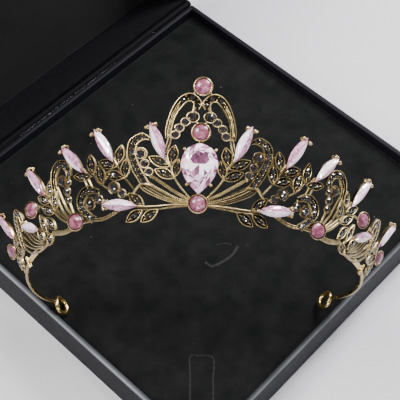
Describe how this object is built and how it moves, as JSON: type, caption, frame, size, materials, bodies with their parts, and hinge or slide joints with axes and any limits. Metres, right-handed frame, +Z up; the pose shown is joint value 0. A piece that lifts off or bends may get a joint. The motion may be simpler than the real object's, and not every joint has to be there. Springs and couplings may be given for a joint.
{
  "type": "tiara in presentation box",
  "caption": "Pierced antique gold tiara with pink and black stones, standing on its end loops in a shallow black velvet-lined box with its hinged lid open.",
  "frame": {"origin": "middle of the underside of the box base", "axes": "+Z up, the lid is hinged along the +Y side, the tiara stands toward the corner between -X and -Y with its front facing that corner"},
  "size_m": [0.1902, 0.224, 0.2045],
  "materials": {
    "antique_gold": "aged satin",
    "pink_clear": "faceted, polished",
    "pink_milky": "faceted, milky",
    "black_glass": "faceted, polished",
    "box_board": "matte black paper over board",
    "velvet": "short black pile",
    "hinge_metal": "matte black"
  },
  "bodies": {
    "box": {"tiara_metal": "antique_gold", "pear_stone": "pink_clear", "navette_1_left": "pink_clear", "navette_1_right": "pink_clear", "navette_2_left": "pink_clear", "navette_2_right": "pink_clear", "navette_3_left": "pink_clear", "navette_3_right": "pink_clear", "navette_4_left": "pink_clear", "navette_4_right": "pink_clear", "navette_5_left": "pink_clear", "navette_5_right": "pink_clear", "navette_6_left": "pink_clear", "navette_6_right": "pink_clear", "navette_7_left": "pink_clear", "navette_7_right": "pink_clear", "round_stone_low": "pink_milky", "round_stone_middle": "pink_milky", "round_stone_top": "pink_milky", "round_stone_1_left": "pink_milky", "round_stone_1_right": "pink_milky", "round_stone_2_left": "pink_milky", "round_stone_2_right": "pink_milky", "round_stone_3_left": "pink_milky", "round_stone_3_right": "pink_milky", "black_stone_arch_left": "black_glass", "black_stone_arch_right": "black_glass", "black_stone_curl_1_left": "black_glass", "black_stone_curl_1_right": "black_glass", "black_stone_scroll_left": "black_glass", "black_stone_scroll_right": "black_glass", "black_stone_curl_2_left": "black_glass", "black_stone_curl_2_right": "black_glass", "black_stone_curl_3_left": "black_glass", "black_stone_curl_3_right": "black_glass", "box_base": "box_board", "box_insert": "velvet", "hinge_base_left": "hinge_metal", "hinge_base_right": "hinge_metal", "hinge_pin": "hinge_metal"},
    "lid": {"lid_shell": "box_board", "lid_pad": "velvet", "hinge_lid": "hinge_metal"}
  },
  "joints": [
    {"name": "lid_hinge", "type": "hinge", "parent": "box", "child": "lid", "pos_m": [0, 0.0915, 0.024], "axis": [1, 0, 0], "range_deg": [-10, 35]}
  ]
}
